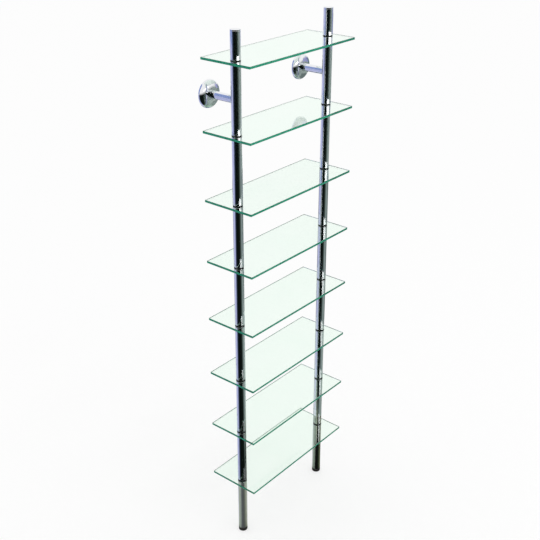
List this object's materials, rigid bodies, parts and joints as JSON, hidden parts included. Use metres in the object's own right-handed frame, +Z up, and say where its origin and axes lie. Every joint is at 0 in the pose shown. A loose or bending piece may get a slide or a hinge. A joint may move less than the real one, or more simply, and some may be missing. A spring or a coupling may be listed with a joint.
{
  "type": "wall media shelf",
  "caption": "Tall wall media shelf: clear glass shelves clamped along two round chrome poles on rubber feet, tied to the wall by arms with sliding domed rosettes.",
  "frame": {"origin": "on the floor, at the middle of the overall width and depth", "axes": "+X to the right as seen from the room, +Y into the wall, +Z up"},
  "size_m": [0.416, 0.153, 1.425],
  "materials": {
    "shelf_glass": "clear float glass with polished green edges",
    "tube_chrome": "polished chrome tube",
    "cap_chrome": "polished chrome",
    "grommet_rubber": "matt black",
    "foot_rubber": "matt black",
    "arm_chrome": "polished chrome",
    "rosette_chrome": "polished chrome",
    "plate_steel": "plain zinc-plated steel",
    "screw_steel": "plain steel thread",
    "insert_brass": "turned brass"
  },
  "bodies": {
    "frame": {"glass_shelf_1": "shelf_glass", "glass_shelf_2": "shelf_glass", "glass_shelf_3": "shelf_glass", "glass_shelf_4": "shelf_glass", "glass_shelf_5": "shelf_glass", "glass_shelf_6": "shelf_glass", "glass_shelf_7": "shelf_glass", "glass_shelf_8": "shelf_glass", "left_cap": "cap_chrome", "left_top_tube": "tube_chrome", "left_leg_tube": "tube_chrome", "left_foot": "foot_rubber", "left_arm_insert": "insert_brass", "left_arm_stud": "screw_steel", "left_wall_arm": "arm_chrome", "left_wall_plate": "plate_steel", "left_grub_screw": "screw_steel", "left_tube_1": "tube_chrome", "left_tube_2": "tube_chrome", "left_tube_3": "tube_chrome", "left_tube_4": "tube_chrome", "left_tube_5": "tube_chrome", "left_tube_6": "tube_chrome", "left_tube_7": "tube_chrome", "left_grommet_1": "grommet_rubber", "left_grommet_2": "grommet_rubber", "left_grommet_3": "grommet_rubber", "left_grommet_4": "grommet_rubber", "left_grommet_5": "grommet_rubber", "left_grommet_6": "grommet_rubber", "left_grommet_7": "grommet_rubber", "left_grommet_8": "grommet_rubber", "right_cap": "cap_chrome", "right_top_tube": "tube_chrome", "right_leg_tube": "tube_chrome", "right_foot": "foot_rubber", "right_arm_insert": "insert_brass", "right_arm_stud": "screw_steel", "right_wall_arm": "arm_chrome", "right_wall_plate": "plate_steel", "right_grub_screw": "screw_steel", "right_tube_1": "tube_chrome", "right_tube_2": "tube_chrome", "right_tube_3": "tube_chrome", "right_tube_4": "tube_chrome", "right_tube_5": "tube_chrome", "right_tube_6": "tube_chrome", "right_tube_7": "tube_chrome", "right_grommet_1": "grommet_rubber", "right_grommet_2": "grommet_rubber", "right_grommet_3": "grommet_rubber", "right_grommet_4": "grommet_rubber", "right_grommet_5": "grommet_rubber", "right_grommet_6": "grommet_rubber", "right_grommet_7": "grommet_rubber", "right_grommet_8": "grommet_rubber"},
    "left_rosette": {"left_rosette": "rosette_chrome"},
    "right_rosette": {"right_rosette": "rosette_chrome"}
  },
  "joints": [
    {"name": "left_rosette_slide", "type": "slide", "parent": "frame", "child": "left_rosette", "axis": [0, -1, 0], "range_m": [0, 0.0595]},
    {"name": "right_rosette_slide", "type": "slide", "parent": "frame", "child": "right_rosette", "axis": [0, -1, 0], "range_m": [0, 0.0595]}
  ]
}
